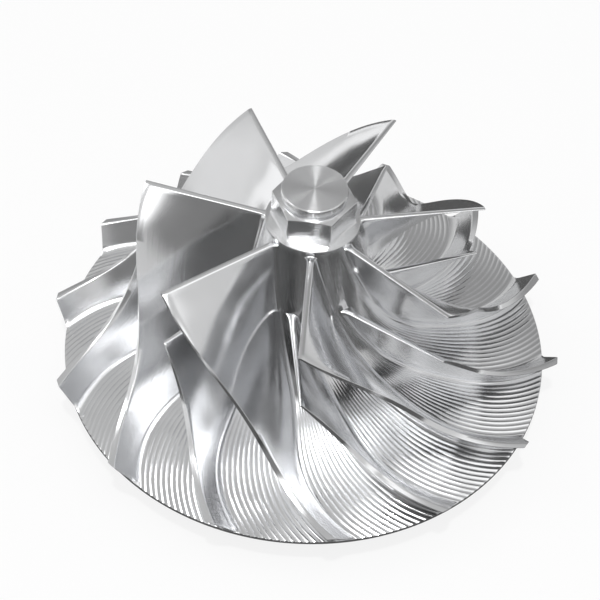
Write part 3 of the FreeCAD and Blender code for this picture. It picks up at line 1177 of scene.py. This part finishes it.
@dataclass
class ShaftThread:
    """Threaded blind bore that the shaft screws into.

    Sizes are in millimetres. The first and last turn, the end of the full drill and its
    tip are heights above the seat.
    """

    core_radius: float = 3.5
    outer_radius: float = 4.0
    pitch: float = 1.0
    first: float = 9.0
    last: float = 31.0
    drill_end: float = 32.0
    tip: float = 34.0
    drill_inset: float = 0.02
    drill_overlap: float = 0.6
    cap_thick: float = 1.0
    sleeve: float = 5.4
    mouth_drop: float = 0.2
    mouth_gap: float = 0.1
    steps: int = 48
    weld_reach: float = 0.002
    least_area: float = 1e-6
    sharp_over: float = 20.0

    def build(self, finishes: list[bpy.types.Material]) -> bpy.types.Object:
        """Build the thread as a closed sleeve with the drill point on top.

        Args:
            finishes: materials of the piece.

        Returns:
            The finished piece.
        """
        shape = bmesh.new()
        crest = self.pitch / 8
        one_turn = [
            (self.core_radius, 0.0),
            (self.core_radius, crest),
            (self.outer_radius, self.pitch / 2 - crest / 2),
            (self.outer_radius, self.pitch / 2 + crest / 2),
            (self.core_radius, self.pitch - crest),
            (self.core_radius, self.pitch),
        ]
        turns = round((self.last - self.first) / self.pitch)
        verts = [
            shape.verts.new(Vector((radius, 0.0, self.first + height))) for radius, height in one_turn]
        edges = [shape.edges.new(pair) for pair in zip(verts, verts[1:])]
        bmesh.ops.spin(
            shape, geom=verts + edges, cent=Vector(), axis=AXIS, angle=math.tau * turns,
            steps=self.steps * turns, dvec=AXIS * (self.pitch / self.steps))
        bmesh.ops.remove_doubles(shape, verts=shape.verts, dist=self.weld_reach)
        slivers = [face for face in shape.faces if face.calc_area() < self.least_area]
        bmesh.ops.delete(shape, geom=slivers, context="FACES")
        mouth = self.first - self.mouth_drop
        sleeve = [
            (self.core_radius - self.drill_inset, self.last + self.drill_overlap),
            (self.core_radius - self.drill_inset, self.drill_end),
            (0.0, self.tip),
            (0.0, self.tip + self.cap_thick),
            (self.sleeve, self.tip),
            (self.sleeve, mouth),
            (self.outer_radius + self.mouth_gap, mouth),
        ]
        spin_profile(shape, sleeve, self.steps)
        return finish_piece(shape, "shaft_thread", finishes, self.sharp_over)


@dataclass(frozen=True)
class TentPatch:
    """One soft patch of light or shade on the inside of the light tent.

    Args:
        name: what the patch is.
        azimuth: angle round the wheel, in degrees from +X.
        elevation: angle above the floor, in degrees.
        half_width: reach to either side, in degrees.
        half_height: reach up and down, in degrees.
        softness: share of the reach over which the edge fades.
        brightness: brightness of the patch, where 1 is white.
    """

    name: str
    azimuth: float
    elevation: float
    half_width: float
    half_height: float
    softness: float
    brightness: float


# Later patches lie over earlier ones.
TENT_PATCHES = (
    TentPatch("right wall", 5.0, 15.0, 46.0, 32.0, 0.25, 0.62),
    TentPatch("back wall", 86.0, 38.0, 50.0, 17.0, 0.5, 0.28),
    TentPatch("left wall", -165.0, 20.0, 46.0, 19.0, 0.5, 0.74),
    TentPatch("roof", 92.0, 77.0, 28.0, 28.0, 0.55, 0.47),
    TentPatch("left light box", 174.0, 49.0, 14.0, 10.0, 0.15, 3.0),
    TentPatch("front left light box", -123.0, 58.0, 14.0, 11.0, 0.35, 2.2),
    TentPatch("mouth", -110.0, 29.0, 27.0, 26.0, 0.22, 0.2),
    TentPatch("foot of the mouth", -75.0, 1.0, 42.0, 22.0, 0.2, 0.03),
    TentPatch("gap in the mouth", -66.0, 20.0, 8.0, 14.0, 0.4, 0.7),
    TentPatch("right light strip", -44.0, 42.0, 9.0, 7.0, 0.3, 1.15),
    TentPatch("right light box", 0.0, 58.0, 14.0, 17.0, 0.45, 1.05),
    TentPatch("upper light box", -70.0, 71.0, 12.0, 15.0, 0.25, 2.6),
)


@dataclass
class Studio:
    """Camera, light tent, lamp, floor and sheets of painted shade round the wheel.

    The camera's elevation and roll are in degrees, its distance and the height it looks
    at in millimetres. The tent, the floor and the shade sheets are in metres. The floor's
    lift is how white the camera and the metal see it, and its shade how light it is.
    """

    elevation: float = 49.971
    roll: float = 3.958
    distance: float = 368.4
    focus_height: float = 9.0
    focal_pixels: float = 1807.17
    frame_pixels: float = 600.0
    shift_pixels: tuple[float, float] = (4.41, 42.32)
    sensor: float = 36.0
    nearest: float = 0.01
    tent_radius: float = 1.5
    wall_brightness: float = 0.56
    lamp_reach: float = 0.7
    floor_reach: float = 0.98
    floor_shade: float = 0.74
    floor_lift: float = 0.86
    floor_sheen: float = 0.1
    floor_steps: int = 96
    matt: float = 0.9
    shade_sheet_height: float = 0.0006
    shade_sheet_steps: int = 48

    def camera_matrix(self) -> Matrix:
        """Return the camera's place, which looks down at the wheel from the front.

        Returns:
            The camera's matrix, in metres.
        """
        tilt = math.radians(self.elevation)
        back = Vector((0.0, -math.cos(tilt), math.sin(tilt)))
        right = Vector((1.0, 0.0, 0.0))
        up = back.cross(right)
        place = back * self.distance + Vector((0.0, 0.0, self.focus_height))
        lean = math.radians(self.roll)
        leaning_right = right * math.cos(lean) + up * math.sin(lean)
        leaning_up = up * math.cos(lean) - right * math.sin(lean)
        across, down = self.shift_pixels
        pan = Matrix.Rotation(math.atan2(across, self.focal_pixels), 3, leaning_up)
        right_axis = pan @ leaning_right
        nod_angle = math.atan2(down, math.hypot(self.focal_pixels, across))
        nod = Matrix.Rotation(nod_angle, 3, right_axis)
        axes = Matrix((right_axis, nod @ leaning_up, nod @ (pan @ back))).transposed()
        return Matrix.Translation(place * MM) @ axes.to_4x4()

    def add_camera(self) -> None:
        """Add the camera at the photograph's viewing angle."""
        lens = bpy.data.cameras.new("camera")
        lens.sensor_width = self.sensor
        lens.lens = self.focal_pixels / self.frame_pixels * self.sensor
        lens.clip_start = self.nearest
        camera = bpy.data.objects.new("camera", lens)
        camera.matrix_world = self.camera_matrix()
        bpy.context.scene.collection.objects.link(camera)
        bpy.context.scene.camera = camera

    def add_lamp(self, name: str, azimuth: float, elevation: float, width: float, watts: float) -> None:
        """Add a soft lamp inside the tent, aimed at the wheel.

        Args:
            name: name of the lamp.
            azimuth: angle round the wheel, in degrees from +X.
            elevation: angle above the floor, in degrees.
            width: width of the lamp's face, in metres.
            watts: power.
        """
        light = bpy.data.lights.new(name, "AREA")
        light.shape = "DISK"
        light.size = width
        light.energy = watts
        lamp = bpy.data.objects.new(name, light)
        away = self.tent_radius * self.lamp_reach
        flat = math.cos(math.radians(elevation)) * away
        place = from_axis(flat, math.sin(math.radians(elevation)) * away, math.radians(azimuth))
        turn = place.to_track_quat("Z", "Y").to_matrix().to_4x4()
        lamp.matrix_world = Matrix.Translation(place) @ turn
        bpy.context.scene.collection.objects.link(lamp)

    @staticmethod
    def stage_object(shape: bmesh.types.BMesh, name: str, paint: bpy.types.Material) -> bpy.types.Object:
        """Turn a shape into a part of the studio, which isn't part of the wheel.

        Args:
            shape: the shape, in metres. It is used up.
            name: name of the object.
            paint: its material.

        Returns:
            The object.
        """
        mesh = bpy.data.meshes.new(name)
        shape.to_mesh(mesh)
        shape.free()
        mesh.materials.append(paint)
        made = bpy.data.objects.new(name, mesh)
        bpy.context.scene.collection.objects.link(made)
        return made

    def add_floor(self) -> None:
        """Add the pale floor, white to the camera and with the wheel's shadow."""
        shape = bmesh.new()
        floor_radius = self.tent_radius * self.floor_reach
        bmesh.ops.create_circle(shape, cap_ends=True, segments=self.floor_steps, radius=floor_radius)
        paint = bpy.data.materials.new("white_floor")
        paint.use_nodes = True
        tree = paint.node_tree
        nodes, links = tree.nodes, tree.links
        cover = nodes["Principled BSDF"]
        cover.inputs["Base Color"].default_value = (*[self.floor_shade] * 3, 1.0)
        cover.inputs["Roughness"].default_value = self.matt
        cover.inputs["Specular IOR Level"].default_value = self.floor_sheen
        glow = nodes.new("ShaderNodeEmission")
        glow.inputs["Color"].default_value = (1.0, 1.0, 1.0, 1.0)
        rays = nodes.new("ShaderNodeLightPath").outputs
        seen = math_step(tree, "MAXIMUM", rays["Is Camera Ray"], rays["Is Glossy Ray"])
        seen = math_step(tree, "MAXIMUM", seen, rays["Is Transmission Ray"])
        blend = nodes.new("ShaderNodeMixShader")
        links.new(math_step(tree, "MULTIPLY", seen, self.floor_lift), blend.inputs["Fac"])
        links.new(cover.outputs["BSDF"], blend.inputs[1])
        links.new(glow.outputs["Emission"], blend.inputs[2])
        links.new(blend.outputs["Shader"], nodes["Material Output"].inputs["Surface"])
        self.stage_object(shape, "floor", paint)

    def add_painted_floor_shade(
        self,
        name: str,
        azimuth: float,
        half_angle: float,
        near: float,
        far: float,
        shade: float,
    ) -> None:
        """Lay a dark sheet of painted shade on the floor, which only the metal's reflections see.

        Args:
            name: name of the shade sheet.
            azimuth: angle of its middle round the wheel, in degrees from +X.
            half_angle: how far it reaches to either side, in degrees.
            near: its inner radius, in metres.
            far: its outer radius, in metres.
            shade: how light the painted shade is, from 0 to 1.
        """
        shape = bmesh.new()
        start = math.radians(azimuth - half_angle)
        ends = [from_axis(radius, self.shade_sheet_height, start) for radius in (near, far)]
        verts = [shape.verts.new(end) for end in ends]
        edge = shape.edges.new(verts)
        bmesh.ops.spin(
            shape, geom=verts + [edge], cent=Vector(), axis=AXIS,
            angle=math.radians(2 * half_angle), steps=self.shade_sheet_steps)
        sheet_paint = bpy.data.materials.new(name)
        sheet_paint.use_nodes = True
        cover = sheet_paint.node_tree.nodes["Principled BSDF"]
        cover.inputs["Base Color"].default_value = (shade, shade, shade, 1.0)
        cover.inputs["Roughness"].default_value = self.matt
        shade_sheet = self.stage_object(shape, name, sheet_paint)
        # Hidden from the camera, from diffuse light and from shadows, the sheet only paints shade into
        # the metal's reflections of the floor.
        shade_sheet.visible_camera = False
        shade_sheet.visible_diffuse = False
        shade_sheet.visible_shadow = False

    def add_tent(self) -> None:
        """Add the light tent, bright overhead and dark where the camera looks in."""
        shape = bmesh.new()
        bmesh.ops.create_icosphere(shape, subdivisions=4, radius=self.tent_radius)
        sheet_paint = bpy.data.materials.new("light_tent")
        sheet_paint.use_nodes = True
        tree = sheet_paint.node_tree
        nodes, links = tree.nodes, tree.links
        nodes.remove(nodes["Principled BSDF"])
        where = nodes.new("ShaderNodeTexCoord")
        way = nodes.new("ShaderNodeVectorMath")
        way.operation = "NORMALIZE"
        links.new(where.outputs["Object"], way.inputs[0])
        light = None
        for patch in TENT_PATCHES:
            layer = nodes.new("ShaderNodeMix")
            layer.label = patch.name
            layer.data_type = "FLOAT"
            # A plain number's factor, its lower layer and its upper layer.
            factor, lower, upper = layer.inputs[0], layer.inputs[2], layer.inputs[3]
            lower.default_value = self.wall_brightness
            upper.default_value = patch.brightness
            if light:
                links.new(light, lower)
            links.new(self.patch_mask(tree, way.outputs["Vector"], patch), factor)
            light = layer.outputs[0]
        glow = nodes.new("ShaderNodeEmission")
        links.new(light, glow.inputs["Strength"])
        links.new(glow.outputs["Emission"], nodes["Material Output"].inputs["Surface"])
        tent = self.stage_object(shape, "light_tent", sheet_paint)
        tent.visible_camera = False
        tent.visible_shadow = False

    @staticmethod
    def patch_mask(
        tree: bpy.types.NodeTree,
        way: bpy.types.NodeSocket,
        patch: TentPatch,
    ) -> bpy.types.NodeSocket:
        """Add the nodes that give where a patch of the tent lies.

        Args:
            tree: nodes and links of the tent's material.
            way: socket with the direction from the wheel.
            patch: the patch.

        Returns:
            The socket that is 1 in the patch and 0 outside it.
        """
        nodes, links = tree.nodes, tree.links
        azimuth, elevation = math.radians(patch.azimuth), math.radians(patch.elevation)
        ahead = from_axis(math.cos(elevation), math.sin(elevation), azimuth)
        beside = from_axis(1.0, 0.0, azimuth + math.pi / 2)
        above = ahead.cross(beside)
        across = beside / math.sin(math.radians(patch.half_width))
        upward = above / math.sin(math.radians(patch.half_height))
        # Large enough to count everything on the tent's other half as far outside.
        behind = ahead * -50.0
        offsets = nodes.new("ShaderNodeCombineXYZ")
        for axis, direction in zip(offsets.inputs, (across, upward, behind)):
            share = nodes.new("ShaderNodeVectorMath")
            share.operation = "DOT_PRODUCT"
            share.inputs[1].default_value = direction
            links.new(way, share.inputs[0])
            offset = share.outputs["Value"]
            if direction is behind:
                offset = math_step(tree, "MAXIMUM", offset, 0.0)
            links.new(offset, axis)
        reach = nodes.new("ShaderNodeVectorMath")
        reach.operation = "LENGTH"
        links.new(offsets.outputs["Vector"], reach.inputs[0])
        fade = nodes.new("ShaderNodeMapRange")
        fade.interpolation_type = "SMOOTHSTEP"
        fade.inputs["From Min"].default_value = 1.0 - patch.softness
        fade.inputs["From Max"].default_value = 1.0 + patch.softness
        fade.inputs["To Min"].default_value = 1.0
        fade.inputs["To Max"].default_value = 0.0
        links.new(reach.outputs["Value"], fade.inputs["Value"])
        return fade.outputs["Result"]

    def add_world(self) -> None:
        """Add the white backdrop beyond the tent."""
        world = bpy.data.worlds.new("backdrop")
        bpy.context.scene.world = world
        world.use_nodes = True
        backdrop = world.node_tree.nodes["Background"]
        backdrop.inputs["Color"].default_value = (1.0, 1.0, 1.0, 1.0)
        backdrop.inputs["Strength"].default_value = 1.0

    def build(self) -> None:
        """Set up the whole studio."""
        bpy.context.scene.view_settings.view_transform = "Standard"
        self.add_camera()
        self.add_world()
        self.add_floor()
        self.add_tent()
        # Painted shade in the metal's reflections of the floor: a painted shadow of the wheel round it,
        # and painted shade on the floor in front.
        self.add_painted_floor_shade("near_painted_shadow", azimuth=-22.0, half_angle=157.0, near=0.02, far=0.24, shade=0.06)
        self.add_painted_floor_shade("front_painted_shade", azimuth=-62.0, half_angle=73.0, near=0.24, far=1.3, shade=0.03)
        self.add_lamp("key_lamp", azimuth=-93.0, elevation=70.0, width=0.04, watts=5.0)


def main() -> None:
    """Build the wheel piece by piece, then the studio round it."""
    logging.basicConfig(level=logging.INFO, format="%(message)s")
    polished = POLISHED_FLANK.material()
    milled = MILLED_FLOOR.material()
    lathe = TURNED_FACE.material()
    flats = MILLED_FLATS.material()

    form = WheelForm()
    full_blades = BladeRow(form, "full_blades", form.inlet_height, first_turn=0.0)
    splitters = BladeRow(
        form,
        "splitter_blades",
        form.splitter_inlet_height,
        first_turn=SEVENTH / 2,
        lead_root_turn=-9.0,
        sections=64,
    )
    hub_floor = MilledFloor(form, full_blades, splitters).build([milled])
    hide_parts("compressor_wheel")
    full_blades.build([polished])
    splitters.build([polished])
    Nose(form).build([lathe, flats])
    BackDisc(form).build([lathe])
    ShaftThread().build([lathe])
    Studio().build()


if __name__ == "__main__":
    main()
